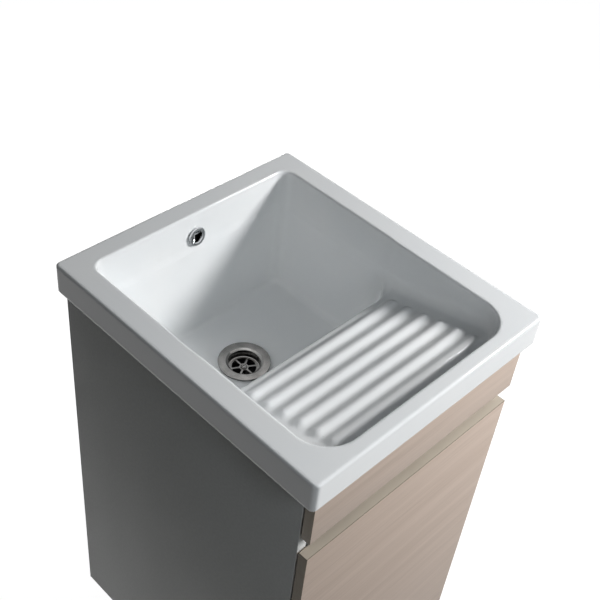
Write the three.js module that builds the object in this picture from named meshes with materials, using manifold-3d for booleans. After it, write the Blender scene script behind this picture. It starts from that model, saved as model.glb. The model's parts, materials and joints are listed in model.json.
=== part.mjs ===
// Utility laundry sink: a ceramic tub with a built-in washboard, standing on a
// narrow cabinet with a fixed fascia, a finger gap and one hinged door.
// Millimetres, +Z up. The origin lies on the floor under the middle of the rim.
// The front faces -Y, and +X is on the right of someone standing at the front.

import * as THREE from 'three';
import { mergeVertices } from 'three/addons/utils/BufferGeometryUtils.js';
import Module from 'manifold-3d';

const wasm = await Module();
wasm.setup();

// ---------------------------------------------------------------- driving dimensions

// Clearances
const seatGap = 0.3; // between two pieces that touch
const runningGap = 0.25; // round a pin or a stud that turns or slides
const past = 1; // how far a cutting tool runs past what it cuts

// Tub
const totalHeight = 850;
const rimWidth = 445;
const rimDepth = 502;
const rimHeight = 49;
const rimCornerRadius = 8;
const rimEdgeRadius = 3;
const sideRimWidth = 38.5;
const backRimWidth = 35;
const frontRimWidth = 22.5;
const frontCornerRadius = 50;
const backCornerRadius = 18;
const wallDraft = 5; // degrees
const bowlDepth = 205;
const bowlFilletRadius = 10; // between the walls and the floor
const floorFall = 10; // from the foot of the bowl's walls to the drain
const ceramicWall = 9;
const ceramicFloor = 10;

// Washboard
const shelfLength = 192.5; // from the opening's front edge to the step down into the bowl
const stepCornerRadius = 50;
const shelfDepthAtStep = 68.5; // below the rim's top, in the grooves
const shelfSlope = 13.8; // degrees
const ribCount = 5;
const ribPitch = 28.6;
const ribHeight = 5;
const ribHalfLength = 148;
const firstRibFromStep = 23;
const noseRadius = 6; // of the round edge that runs along the step
const noseHeight = 1.2;
const lastRibHalfWidth = 11;
const lastRibHeight = 4;
const lastRibStep = 26.4; // from the crest before it
const sideFilletRadius = 18;

// Waste
const drainFromBackEdge = 121.5; // from the opening's back edge
const drainHoleRadius = 30;
const drainSeatRadius = 46;
const flangeRadius = 41;
const flangeRise = 2.2;
const dishRadius = 25.5;
const dishDepth = 12.5;
const sheetThickness = 1.5;
const strainerRadius = 21.5;
const strainerDepth = 9.5;
const strainerThickness = 1.6;
const strainerLipWidth = 2;
const strainerSlots = 6;
const spokeWidth = 2.8;
const slotFromEdge = 2.3;
const slotFromBoss = 1.6;
const bossRadius = 5.7;
const bossRise = 1;
const screwRadius = 3;
const screwLength = 34;
const screwHeadRadius = 4.7;
const screwHeadRise = 1.9;
const screwSlotWidth = 1.2;
const screwSlotDepth = 1;
const gasketThickness = 2;
const gasketInset = 1;
const wasteBodyRadius = 31;
const wasteBodyHeight = 38;
const wasteRimWidth = 5;
const wasteRimHeight = 4;
const wasteShoulderHeight = 12;
const wasteTailRadius = 23;
const wasteTailLength = 24;
const wasteWall = 3;
const bridgeWidth = 12;
const bridgeHeight = 8;

// Overflow
const overflowDepth = 40; // centre, below the rim's top
const overflowHoleRadius = 12;
const overflowRingRadius = 15.5;
const overflowRingRise = 2.5;
const overflowRingBevel = 1;
const overflowBarrelLength = 8;
const overflowBarWidth = 2;
const overflowBarSetback = 6; // from the wall's face to the front of the cross
const overflowBoreRadius = 9.5;
const overflowBodyRadius = 17;
const overflowBodyLength = 15;
const overflowPocketMargin = 6;
const hoseRadius = 10;
const hoseBore = 8;
const hoseSpigotLength = 14;
const hoseBendRadius = 28;
const hoseLeadIn = 15; // straight before and after the bend
const hoseRunPoints = 5; // on each straight run

// Trap
const tubeRadius = 20;
const tubeWall = 2;
const collarThickness = 2.4;
const couplingRadius = 29;
const couplingHeight = 22;
const nutWeb = 5;
const nutChamfer = 3;
const nutGrips = 8;
const gripRadius = 5;
const nutGripDepth = 2;
const trapBodyRadius = 38;
const trapBodyHeight = 86;
const trapNeckWall = 5;
const trapNeckHeight = 8;
const trapShoulderHeight = 10;
const trapCupRadius = 42;
const trapCupHeight = 52;
const cupSkirtHeight = 16;
const cupChamfer = 8;
const cupGrips = 16;
const cupGripDepth = 1.4;
const trapBelowTail = 42; // from the waste's tail to the top of the trap's body
const trapWall = 3;
const dipTubeAboveFloor = 10; // the dip tube's end above the joint of body and cup
const outletBelowTrapTop = 34;
const outletRadius = 18;
const outletOverlap = 8; // of the pipe over the trap's spigot
const outletNutOverlap = 6;
const outletNutLength = 24;
const outletSpigotLength = 18;
const wallRosetteRadius = 34;
const wallRosetteThickness = 6;
const wallRosetteEdge = 1.5;
const wallRosetteBevel = 4;

// Cabinet
const panelThickness = 16;
const rimOverhang = 15.5; // rim past the side panels
const frontEdgeSetback = 26.4; // rim's front to the side panels' front edge
const backSetback = 1;
const footHeight = 80;
const fasciaDepth = 133.2; // rim's top to the fascia's lower edge
const doorTopDepth = 165.2; // rim's top to the door's upper edge
const frontThickness = 15;
const frontGap = 2.6; // side panels' front edge to the back of the door
const frontReveal = 0.3; // the fronts stop this far inside the side panels
const frontRailHeight = 84;
const railHeight = 64;
const railAboveRosette = 8; // the upper rear rail clears the wall rosette by this

// Door hinges
const hingeFromDoorEnd = 82;
const cupRadius = 17.5;
const cupTab = 3; // door's outer edge to the cup's bore
const cupDepth = 11.5;
const cupWall = 0.8;
const cupFlangeHeight = 60;
const cupFlangeWidth = 24;
const cupFlangeThickness = 1;
const pinFromEdge = 6.6;
const pinDepth = 8.2; // from the door's back face towards its front
const pinRadius = 1;
const eyeRadius = 1.9;
const armWidth = 7;
const armBackWidth = 14;
const armThickness = 2;
const armCrankFromEdge = 28;
const armBend = 3; // the crank's corners are cut off by this
const armRamp = 4; // ahead of the plate, where the arm comes down on it
const plateLength = 36;
const plateHeight = 32;
const plateThickness = 2.5;
const plateFromFrontEdge = 22;
const plateScrewRadius = 2;
const plateScrewHeadRadius = 3.6;
const plateScrewHeadHeight = 2;
const driverSlotWidth = 1;
const driverSlotDepth = 0.6;
const plateScrewLength = 9;
const bumperRadius = 5;
const bumperBevel = 1;
const bumperFromEnd = 40;

// Feet
const footInset = 45;
const socketRadius = 24;
const socketHeight = 42;
const socketFlange = 30;
const socketFlangeThickness = 4;
const socketTaper = 3;
const studRadius = 6;
const studLength = 52;
const footBaseRadius = 26;
const footBaseHeight = 12;
const footBaseBevel = 1;
const footConeWidth = 6;
const footConeHeight = 4;

// Brackets and screws
const bracketLeg = 32;
const bracketWidth = 24;
const bracketThickness = 2.5;
const bracketHoleRadius = 3;
const bracketHoleFromSide = 20;
const boardScrewRadius = 2;
const boardScrewHeadRadius = 4;
const boardScrewHeadHeight = 2.2;
const boardScrewLength = 26;
const fasciaScrewInset = 60; // from the front rail's end

// Number of flats round a full turn
const roundSteps = 32;
const smallRoundSteps = 16;
const cornerSteps = 6;
const ribSteps = 44;
const filletSteps = 4;

// ---------------------------------------------------------------- derived levels and places

const rimTop = totalHeight;
const rimUnderside = rimTop - rimHeight;
const rimFront = -rimDepth / 2;
const rimBack = rimDepth / 2;
const draft = Math.tan(THREE.MathUtils.degToRad(wallDraft));
const slope = Math.tan(THREE.MathUtils.degToRad(shelfSlope));
const openingHalf = rimWidth / 2 - sideRimWidth;
const openingFront = rimFront + frontRimWidth;
const openingBack = rimBack - backRimWidth;
const stepY = openingFront + shelfLength;
const stepEndY = stepY + stepCornerRadius; // where the curved ends of the step meet the side walls
const floorZ = rimTop - bowlDepth;
const drainZ = floorZ - floorFall;
const drainY = openingBack - drainFromBackEdge;
const ceramicUnderDrain = drainZ - ceramicFloor;

const sideOuter = rimWidth / 2 - rimOverhang;
const sideInner = sideOuter - panelThickness;
const cabinetFront = rimFront + frontEdgeSetback;
const cabinetBack = rimBack - backSetback;
const cabinetTop = rimUnderside - seatGap;
const cabinetBottom = footHeight;
const boardHalf = sideInner - seatGap;
const frontHalf = sideOuter - frontReveal;
const frontBackFace = cabinetFront - frontGap;
const frontFace = frontBackFace - frontThickness;
const fasciaBottom = rimTop - fasciaDepth;
const doorTop = rimTop - doorTopDepth;
const railFrontFace = frontBackFace + seatGap;

// ---------------------------------------------------------------- geometry helpers

const axisX = new THREE.Vector3(1, 0, 0);
const axisY = new THREE.Vector3(0, 1, 0);
const axisZ = new THREE.Vector3(0, 0, 1);

function signedVolume(position, index) {
  const a = new THREE.Vector3();
  const b = new THREE.Vector3();
  const c = new THREE.Vector3();
  let sum = 0;
  for (let i = 0; i < index.length; i += 3) {
    a.fromBufferAttribute(position, index[i]);
    b.fromBufferAttribute(position, index[i + 1]);
    c.fromBufferAttribute(position, index[i + 2]);
    sum += a.dot(b.cross(c));
  }
  return sum / 6;
}

// Shared vertices merged, slivers of no area left out and faces turned outward.
function closed(geometry) {
  const bare = geometry.clone();
  bare.deleteAttribute('normal');
  bare.deleteAttribute('uv');
  const merged = mergeVertices(bare, 1e-4);
  const source = merged.index.array;
  const kept = [];
  for (let i = 0; i < source.length; i += 3) {
    const [a, b, c] = [source[i], source[i + 1], source[i + 2]];
    if (a !== b && b !== c && c !== a) kept.push(a, b, c);
  }
  if (signedVolume(merged.attributes.position, kept) < 0) {
    for (let i = 0; i < kept.length; i += 3) {
      [kept[i + 1], kept[i + 2]] = [kept[i + 2], kept[i + 1]];
    }
  }
  merged.setIndex(kept);
  return merged;
}

function solidOf(geometry) {
  const whole = closed(geometry);
  const mesh = new wasm.Mesh({
    numProp: 3,
    vertProperties: new Float32Array(whole.attributes.position.array),
    triVerts: new Uint32Array(whole.index.array),
  });
  return new wasm.Manifold(mesh);
}

function geometryOf(solid) {
  const mesh = solid.getMesh();
  const geometry = new THREE.BufferGeometry();
  geometry.setAttribute('position', new THREE.BufferAttribute(new Float32Array(mesh.vertProperties), 3));
  geometry.setIndex(new THREE.BufferAttribute(new Uint32Array(mesh.triVerts), 1));
  return geometry;
}

function join(...geometries) {
  return geometryOf(geometries.map(solidOf).reduce((sum, solid) => sum.add(solid)));
}

function cut(geometry, ...tools) {
  return geometryOf(tools.map(solidOf).reduce((rest, tool) => rest.subtract(tool), solidOf(geometry)));
}

function common(a, b) {
  return geometryOf(solidOf(a).intersect(solidOf(b)));
}

function box(x0, x1, y0, y1, z0, z1) {
  const geometry = new THREE.BoxGeometry(x1 - x0, y1 - y0, z1 - z0);
  return geometry.translate((x0 + x1) / 2, (y0 + y1) / 2, (z0 + z1) / 2);
}

// A round bar along +Z from z0 to z1, turned towards another axis on request.
function bar(radius, z0, z1, steps = roundSteps) {
  const geometry = new THREE.CylinderGeometry(radius, radius, z1 - z0, steps);
  return geometry.rotateX(Math.PI / 2).translate(0, 0, (z0 + z1) / 2);
}

function barY(radius, y0, y1, x, z, steps = roundSteps) {
  const geometry = new THREE.CylinderGeometry(radius, radius, y1 - y0, steps);
  return geometry.translate(x, (y0 + y1) / 2, z);
}

function barX(radius, x0, x1, y, z, steps = roundSteps) {
  const geometry = new THREE.CylinderGeometry(radius, radius, x1 - x0, steps);
  return geometry.rotateZ(Math.PI / 2).translate((x0 + x1) / 2, y, z);
}

// A turned piece about +Z; the profile's points are [radius, height].
function turned(profile, steps = roundSteps) {
  const points = profile.map(([radius, height]) => new THREE.Vector2(radius, height));
  return new THREE.LatheGeometry(points, steps).rotateX(Math.PI / 2);
}

// A turned ring whose profile closes on itself.
function turnedRing(profile, steps = roundSteps) {
  return turned([...profile, profile[0]], steps);
}

function shapeOf(points) {
  return new THREE.Shape(points.map(([x, y]) => new THREE.Vector2(x, y)));
}

// An outline in the XY plane pulled up from z0 to z1.
function pulledUp(shape, z0, z1) {
  const geometry = new THREE.ExtrudeGeometry(shape, { depth: z1 - z0, bevelEnabled: false });
  return geometry.translate(0, 0, z0);
}

// An outline in the YZ plane pulled along X from x0 to x1.
function pulledAlongX(shape, x0, x1) {
  const geometry = new THREE.ExtrudeGeometry(shape, { depth: x1 - x0, bevelEnabled: false });
  geometry.applyMatrix4(new THREE.Matrix4().makeBasis(axisY, axisZ, axisX));
  return geometry.translate(x0, 0, 0);
}

// Outline of a rectangle with its own corner radius at the front and at the back.
function roundedOutline(half, front, back, frontRadius, backRadius) {
  const points = [];
  const corners = [
    [half - frontRadius, front + frontRadius, frontRadius, -Math.PI / 2],
    [half - backRadius, back - backRadius, backRadius, 0],
    [-half + backRadius, back - backRadius, backRadius, Math.PI / 2],
    [-half + frontRadius, front + frontRadius, frontRadius, Math.PI],
  ];
  for (const [x, y, radius, start] of corners) {
    for (let i = 0; i <= cornerSteps; i += 1) {
      const angle = start + (i / cornerSteps) * (Math.PI / 2);
      points.push([x + radius * Math.cos(angle), y + radius * Math.sin(angle)]);
    }
  }
  return points;
}

// Skin over a stack of convex outlines with equal point counts: [[points, z], ...].
function lofted(levels) {
  const count = levels[0][0].length;
  const vertices = levels.flatMap(([points, z]) => points.flatMap(([x, y]) => [x, y, z]));
  const index = [];
  for (let level = 0; level < levels.length - 1; level += 1) {
    for (let i = 0; i < count; i += 1) {
      const a = level * count + i;
      const b = level * count + ((i + 1) % count);
      index.push(a, b, b + count, a, b + count, a + count);
    }
  }
  const top = (levels.length - 1) * count;
  for (let i = 1; i < count - 1; i += 1) {
    index.push(0, i + 1, i, top, top + i, top + i + 1);
  }
  const geometry = new THREE.BufferGeometry();
  geometry.setAttribute('position', new THREE.Float32BufferAttribute(vertices, 3));
  geometry.setIndex(index);
  return geometry;
}

// A strap of even thickness along a bent centre line in the XY plane.
function strapShape(line, thickness) {
  const sides = [[], []];
  line.forEach(([x, y], i) => {
    const before = line[Math.max(i - 1, 0)];
    const after = line[Math.min(i + 1, line.length - 1)];
    const inward = new THREE.Vector2(x - before[0], y - before[1]).normalize();
    const outward = new THREE.Vector2(after[0] - x, after[1] - y).normalize();
    const along = inward.clone().add(outward).normalize();
    const widen = thickness / 2 / Math.max(along.dot(i === 0 ? outward : inward), 0.5);
    sides[0].push([x - along.y * widen, y + along.x * widen]);
    sides[1].unshift([x + along.y * widen, y - along.x * widen]);
  });
  return shapeOf([...sides[0], ...sides[1]]);
}

// A round section carried along a smooth line through the points.
function alongLine(points, section, steps) {
  const path = new THREE.CatmullRomCurve3(points.map((p) => new THREE.Vector3(...p)));
  return new THREE.ExtrudeGeometry(section, { extrudePath: path, steps, curveSegments: smallRoundSteps / 2 });
}

// Round-bottomed grips let into a turned piece, as tools to cut with.
function grips(radius, count, depth, z0, z1) {
  const reach = radius + gripRadius - depth;
  const tools = [];
  for (let i = 0; i < count; i += 1) {
    const angle = (i * 2 * Math.PI) / count;
    const tool = bar(gripRadius, z0, z1, smallRoundSteps);
    tools.push(tool.translate(reach * Math.cos(angle), reach * Math.sin(angle), 0));
  }
  return tools;
}

function flatRing(inner, outer, z0, z1) {
  return turnedRing([
    [inner, z0],
    [outer, z0],
    [outer, z1],
    [inner, z1],
  ]);
}

// ---------------------------------------------------------------- materials

function material(color, roughness, metalness = 0) {
  return new THREE.MeshStandardMaterial({ color, roughness, metalness });
}

const ceramic = material(0xe6e8e8, 0.12);
const stainless = material(0x9d9b98, 0.28, 1);
const chrome = material(0xc8cacc, 0.1, 1);
const zincSteel = material(0xa9abad, 0.35, 1);
const oak = material(0xc9b4a4, 0.55);
const whiteBoard = material(0xe4e5e3, 0.5);
const whitePlastic = material(0xe9e9e6, 0.4);
const greyPlastic = material(0x8d9092, 0.5);
const blackPlastic = material(0x232324, 0.55);
const blackRubber = material(0x1d1d1d, 0.8);
const clearBumper = material(0xd8dada, 0.3);

const group = new THREE.Group();

function place(name, geometry, finish, position = [0, 0, 0]) {
  const mesh = new THREE.Mesh(closed(geometry), finish);
  mesh.name = name;
  mesh.position.set(...position);
  group.add(mesh);
}

// ---------------------------------------------------------------- ceramic tub

function openingOutline(depth, grow = 0) {
  const inset = depth * draft - grow;
  const front = openingFront + inset;
  const back = openingBack - inset;
  return roundedOutline(openingHalf - inset, front, back, frontCornerRadius + grow, backCornerRadius + grow);
}

// The bowl's front wall meets the shelf at the step.
function bowlOutline(depth, grow = 0) {
  const inset = depth * draft - grow;
  const front = stepY - shelfDepthAtStep * draft + inset;
  const back = openingBack - inset;
  return roundedOutline(openingHalf - inset, front, back, stepCornerRadius + grow, backCornerRadius + grow);
}

// A circle whose points answer those of a rounded outline one to one.
function roundOutline(radius, centreY) {
  return roundedOutline(radius, centreY - radius, centreY + radius, radius, radius);
}

function shelfZ(y) {
  return rimTop - shelfDepthAtStep + (stepY - y) * slope;
}

function shelfProfile() {
  return shapeOf([
    [stepY, floorZ],
    [stepY, shelfZ(stepY)],
    [rimFront, shelfZ(rimFront)],
    [rimFront, floorZ],
  ]);
}

// A bead square to the sloping shelf, height above it and 2 * halfWidth wide where it meets it.
function rib(y, halfWidth, height) {
  const radius = (halfWidth ** 2 + height ** 2) / (2 * height);
  const straight = 2 * (ribHalfLength - halfWidth);
  const bead = new THREE.CapsuleGeometry(radius, straight, 2 * cornerSteps, ribSteps);
  const sink = height - radius;
  const tilt = THREE.MathUtils.degToRad(shelfSlope);
  return bead.rotateZ(Math.PI / 2).translate(0, y + sink * Math.sin(tilt), shelfZ(y) + sink * Math.cos(tilt));
}

// The hollow round that leads from the shelf up into one of the bowl's leaning side walls.
function sideFillet(side) {
  const turn = Math.PI / 2 - THREE.MathUtils.degToRad(wallDraft);
  const reach = sideFilletRadius * Math.tan(turn / 2);
  const outline = [];
  for (let i = 0; i <= cornerSteps; i += 1) {
    const angle = (i / cornerSteps) * turn;
    outline.push([sideFilletRadius * Math.sin(angle) - reach, sideFilletRadius * (1 - Math.cos(angle))]);
  }
  outline.push([reach, sideFilletRadius], [reach, -past], [-reach, -past]);
  const footOfWall = (y) => {
    const depth = rimTop - shelfZ(y);
    return new THREE.Vector3(side * (openingHalf - depth * draft), y, shelfZ(y));
  };
  const front = footOfWall(rimFront);
  const along = footOfWall(stepEndY).sub(front);
  const across = new THREE.Vector3(side, 0, 0);
  const block = new THREE.ExtrudeGeometry(shapeOf(outline), { depth: 1, bevelEnabled: false });
  block.applyMatrix4(new THREE.Matrix4().makeBasis(across, axisZ, along));
  return block.translate(front.x, front.y, front.z);
}

// The round edge of the step, which turns back at both ends with the bowl's corners.
function nose() {
  const cornerX = openingHalf - shelfDepthAtStep * draft - stepCornerRadius;
  const reach = stepCornerRadius + noseRadius;
  const plan = [];
  for (let i = 0; i < cornerSteps; i += 1) {
    const angle = (i / cornerSteps) * (Math.PI / 2);
    plan.push([-cornerX - reach * Math.cos(angle), stepEndY - reach * Math.sin(angle)]);
  }
  for (let i = 0; i <= cornerSteps; i += 1) {
    plan.push([cornerX * ((2 * i) / cornerSteps - 1), stepEndY - reach]);
  }
  for (let i = cornerSteps - 1; i >= 0; i -= 1) plan.push([-plan[i][0], plan[i][1]]);
  const points = plan.map(([x, y]) => [x, y, shelfZ(Math.min(y, stepY)) + noseHeight - noseRadius]);
  const section = new THREE.Shape().absarc(0, 0, noseRadius, 0, Math.PI * 2);
  return alongLine(points, section, 5 * cornerSteps);
}

function washboard() {
  const shelf = pulledAlongX(shelfProfile(), -rimWidth / 2, rimWidth / 2);
  const beads = [];
  for (let i = 0; i < ribCount; i += 1) {
    beads.push(rib(stepY - firstRibFromStep - i * ribPitch, ribPitch / 2, ribHeight));
  }
  const lastRibY = stepY - firstRibFromStep - (ribCount - 1) * ribPitch - lastRibStep;
  beads.push(rib(lastRibY, lastRibHalfWidth, lastRibHeight));
  return join(shelf, nose(), ...beads, sideFillet(-1), sideFillet(1));
}

// The levels of the round between the bowl's floor and its walls, lowest first.
function bowlFillet() {
  const levels = [];
  for (let i = 0; i <= filletSteps; i += 1) {
    const angle = (i / filletSteps) * (Math.PI / 2);
    const rise = bowlFilletRadius * (1 - Math.cos(angle));
    const inset = bowlFilletRadius * (1 - Math.sin(angle));
    levels.push([bowlOutline(bowlDepth - rise, -inset), floorZ + rise]);
  }
  return levels;
}

function tubCavity() {
  const upper = lofted([
    [openingOutline(shelfDepthAtStep), rimTop - shelfDepthAtStep],
    [openingOutline(-past), rimTop + past],
  ]);
  const bowl = lofted([
    [roundOutline(drainSeatRadius, drainY), drainZ],
    ...bowlFillet(),
    [bowlOutline(shelfDepthAtStep / 2), rimTop - shelfDepthAtStep / 2],
  ]);
  const aboveShelf = cut(upper, washboard());
  const drain = bar(drainHoleRadius, ceramicUnderDrain - past, drainZ + past).translate(0, drainY, 0);
  return join(aboveShelf, bowl, drain);
}

const intoBowl = Math.PI / 2 - THREE.MathUtils.degToRad(wallDraft); // turns +Z square to the back wall
const overflowZ = rimTop - overflowDepth;
const overflowWallY = openingBack - overflowDepth * draft;
const pocketFront = overflowWallY + ceramicWall;
const pocketBack = rimBack - ceramicWall;
const pocketTop = overflowZ + overflowBodyRadius + overflowPocketMargin;
const pocketHalf = overflowBodyRadius + overflowPocketMargin;

function ceramicBasin() {
  const slab = new THREE.ExtrudeGeometry(
    shapeOf(
      roundedOutline(
        rimWidth / 2 - rimEdgeRadius,
        rimFront + rimEdgeRadius,
        rimBack - rimEdgeRadius,
        rimCornerRadius - rimEdgeRadius,
        rimCornerRadius - rimEdgeRadius,
      ),
    ),
    {
      depth: rimHeight - 2 * rimEdgeRadius,
      bevelEnabled: true,
      bevelThickness: rimEdgeRadius,
      bevelSize: rimEdgeRadius,
      bevelSegments: 3,
    },
  ).translate(0, 0, rimUnderside + rimEdgeRadius);
  const shell = lofted([
    [roundOutline(drainSeatRadius + ceramicWall, drainY), ceramicUnderDrain],
    [bowlOutline(bowlDepth, ceramicWall), floorZ - ceramicFloor],
    [bowlOutline(rimHeight / 2, ceramicWall), rimTop - rimHeight / 2],
  ]);
  const shelfShell = common(
    pulledAlongX(
      shapeOf([
        [stepY, shelfZ(stepY) - ceramicWall - noseRadius],
        [stepEndY, shelfZ(stepY) - ceramicWall - noseRadius],
        [stepEndY, rimTop - rimHeight / 4],
        [rimFront, rimTop - rimHeight / 4],
        [rimFront, shelfZ(rimFront) - ceramicWall],
      ]),
      -rimWidth / 2,
      rimWidth / 2,
    ),
    lofted([
      [openingOutline(bowlDepth, ceramicWall), floorZ],
      [openingOutline(0, ceramicWall), rimTop],
    ]),
  );
  const overflowHole = bar(overflowHoleRadius, -2 * ceramicWall, ceramicWall)
    .rotateX(intoBowl)
    .translate(0, overflowWallY, overflowZ);
  const pocket = box(-pocketHalf, pocketHalf, pocketFront, pocketBack, rimUnderside - past, pocketTop);
  return cut(join(slab, shell, shelfShell), tubCavity(), overflowHole, pocket);
}

place('ceramic_basin', ceramicBasin(), ceramic);

// ---------------------------------------------------------------- overflow

function overflowRing() {
  const face = overflowRingRise;
  const barrelRadius = overflowHoleRadius - seatGap;
  const bezel = turnedRing([
    [overflowBoreRadius, -overflowBarrelLength],
    [barrelRadius, -overflowBarrelLength],
    [barrelRadius, seatGap],
    [overflowRingRadius, seatGap],
    [overflowRingRadius, face - overflowRingBevel],
    [overflowRingRadius - overflowRingBevel, face],
    [overflowBoreRadius + overflowRingBevel, face],
    [overflowBoreRadius, face - overflowRingBevel],
  ]);
  const half = (overflowBoreRadius + barrelRadius) / 2;
  const side = overflowBarWidth / 2;
  const top = -overflowBarSetback;
  const bars = [0, 1].map((i) => {
    return box(-half, half, -side, side, top - overflowBarWidth, top).rotateZ((i * Math.PI) / 2);
  });
  return join(bezel, ...bars).rotateX(intoBowl);
}

place('overflow_ring', overflowRing(), chrome, [0, overflowWallY, overflowZ]);

const elbowFront = pocketFront + gasketThickness + 2 * seatGap;
const elbowBack = elbowFront + overflowBodyLength;
const hoseTop = overflowZ - overflowBodyRadius;
const hoseY = (elbowFront + elbowBack) / 2;

function overflowGasket() {
  return cut(
    barY(overflowBodyRadius, pocketFront + seatGap, pocketFront + seatGap + gasketThickness, 0, overflowZ),
    barY(overflowHoleRadius + seatGap, pocketFront - past, elbowFront, 0, overflowZ),
  );
}

place('overflow_gasket', overflowGasket(), blackRubber);

function overflowElbow() {
  const body = barY(overflowBodyRadius, elbowFront, elbowBack, 0, overflowZ);
  const spigot = bar(hoseBore - runningGap, hoseTop - hoseSpigotLength, overflowZ).translate(0, hoseY, 0);
  const inside = barY(overflowHoleRadius, elbowFront - past, elbowBack - wasteWall, 0, overflowZ);
  const bore = bar(hoseBore - wasteWall, hoseTop - hoseSpigotLength - past, overflowZ).translate(0, hoseY, 0);
  return cut(join(body, spigot), inside, bore);
}

place('overflow_elbow', overflowElbow(), blackPlastic);

// ---------------------------------------------------------------- waste

const inletZ = ceramicUnderDrain - gasketThickness - wasteBodyHeight / 2;
const inletReach = wasteBodyRadius + hoseSpigotLength;

function wasteFlange() {
  const inner = dishRadius;
  const outer = dishRadius + sheetThickness;
  const lip = strainerRadius - sheetThickness;
  const top = flangeRise;
  return turnedRing([
    [flangeRadius, gasketThickness],
    [flangeRadius, gasketThickness + top / 2],
    [flangeRadius - sheetThickness, gasketThickness + top],
    [inner + 2 * sheetThickness, gasketThickness + sheetThickness / 2],
    [inner, gasketThickness - sheetThickness],
    [inner, -dishDepth],
    [lip, -dishDepth],
    [lip, -dishDepth - sheetThickness],
    [outer, -dishDepth - sheetThickness],
    [outer, -sheetThickness],
    [outer + sheetThickness, gasketThickness - sheetThickness / 2],
    [flangeRadius - 2 * sheetThickness, gasketThickness],
  ]);
}

place('waste_flange', wasteFlange(), stainless, [0, drainY, drainZ + seatGap]);

place(
  'waste_upper_gasket',
  flatRing(drainHoleRadius + gasketInset, flangeRadius - gasketInset, 0, gasketThickness / 2),
  blackRubber,
  [0, drainY, drainZ + seatGap],
);

const strainerTop = drainZ - strainerDepth + seatGap;

// One of the openings between two spokes, in plan.
function strainerSlot() {
  const outer = strainerRadius - slotFromEdge;
  const inner = bossRadius + slotFromBoss;
  const wideOuter = Math.PI / strainerSlots - Math.asin(spokeWidth / 2 / outer);
  const wideInner = Math.PI / strainerSlots - Math.asin(spokeWidth / 2 / inner);
  const slot = new THREE.Shape();
  slot.absarc(0, 0, outer, -wideOuter, wideOuter);
  slot.absarc(0, 0, inner, wideInner, -wideInner, true);
  return slot;
}

function strainer() {
  const low = -strainerThickness;
  const plate = bar(strainerRadius, low, 0);
  const boss = bar(bossRadius, low, bossRise);
  const seatZ = strainerDepth - dishDepth + seatGap;
  const seat = flatRing(strainerRadius - strainerLipWidth, strainerRadius, seatZ, 0);
  const depth = strainerThickness + 2 * past;
  const slots = [];
  for (let i = 0; i < strainerSlots; i += 1) {
    const options = { depth, bevelEnabled: false, curveSegments: cornerSteps };
    const tool = new THREE.ExtrudeGeometry(strainerSlot(), options);
    slots.push(tool.translate(0, 0, low - past).rotateZ((i * 2 * Math.PI) / strainerSlots));
  }
  const hole = bar(screwRadius + runningGap, low - past, bossRise + past, smallRoundSteps);
  return cut(join(plate, boss, seat), hole, ...slots);
}

place('strainer', strainer(), stainless, [0, drainY, strainerTop]);

function strainerScrew() {
  const seat = bossRise + seatGap;
  const top = seat + screwHeadRise;
  const head = turned(
    [
      [0, seat],
      [screwHeadRadius, seat],
      [screwHeadRadius, seat + screwHeadRise / 2],
      [screwHeadRadius - screwHeadRise / 2, top],
      [0, top],
    ],
    smallRoundSteps,
  );
  const shank = bar(screwRadius, -screwLength, seat + screwHeadRise / 2, smallRoundSteps);
  const side = screwSlotWidth / 2;
  const slot = box(-bossRadius, bossRadius, -side, side, top - screwSlotDepth, top + past);
  return cut(join(head, shank), slot);
}

place('strainer_screw', strainerScrew(), stainless, [0, drainY, strainerTop]);

place(
  'waste_lower_gasket',
  flatRing(wasteBodyRadius - wasteWall, wasteBodyRadius + wasteRimWidth, -gasketThickness, 0),
  blackRubber,
  [0, drainY, ceramicUnderDrain - seatGap],
);

const wasteTop = ceramicUnderDrain - gasketThickness - 2 * seatGap;
const wasteTailZ = wasteTop - wasteBodyHeight - wasteTailLength;

function wasteBody() {
  const shoulder = wasteShoulderHeight - wasteBodyHeight;
  const tailEnd = -wasteBodyHeight - wasteTailLength;
  const outside = turned([
    [0, 0],
    [wasteBodyRadius + wasteRimWidth, 0],
    [wasteBodyRadius + wasteRimWidth, -wasteRimHeight],
    [wasteBodyRadius, -wasteRimHeight],
    [wasteBodyRadius, shoulder],
    [wasteTailRadius, -wasteBodyHeight],
    [wasteTailRadius, tailEnd],
    [0, tailEnd],
  ]);
  const inside = turned([
    [0, past],
    [wasteBodyRadius - wasteWall, past],
    [wasteBodyRadius - wasteWall, shoulder],
    [wasteTailRadius - wasteWall, -wasteBodyHeight],
    [wasteTailRadius - wasteWall, tailEnd - past],
    [0, tailEnd - past],
  ]);
  const inletLevel = inletZ - wasteTop;
  const inletPipe = barY(hoseBore - runningGap, wasteBodyRadius - wasteWall, inletReach, 0, inletLevel);
  const inletBore = barY(hoseBore - wasteWall, 0, inletReach + past, 0, inletLevel);
  const half = wasteBodyRadius - wasteWall / 2;
  const bridgeTop = -wasteBodyHeight / 2;
  const bridgeLow = bridgeTop - bridgeHeight;
  const bridge = box(-half, half, -bridgeWidth / 2, bridgeWidth / 2, bridgeLow, bridgeTop);
  const thread = bar(screwRadius + runningGap, bridgeLow - past, bridgeTop + past, smallRoundSteps);
  return cut(join(cut(join(outside, inletPipe), inside), bridge), inletBore, thread);
}

place('waste_body', wasteBody(), blackPlastic, [0, drainY, wasteTop]);

// Points down a straight run, from one level to another.
function straightRun(from, to) {
  const levels = [];
  for (let i = 0; i < hoseRunPoints; i += 1) levels.push(from + ((to - from) * i) / (hoseRunPoints - 1));
  return levels;
}

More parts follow.
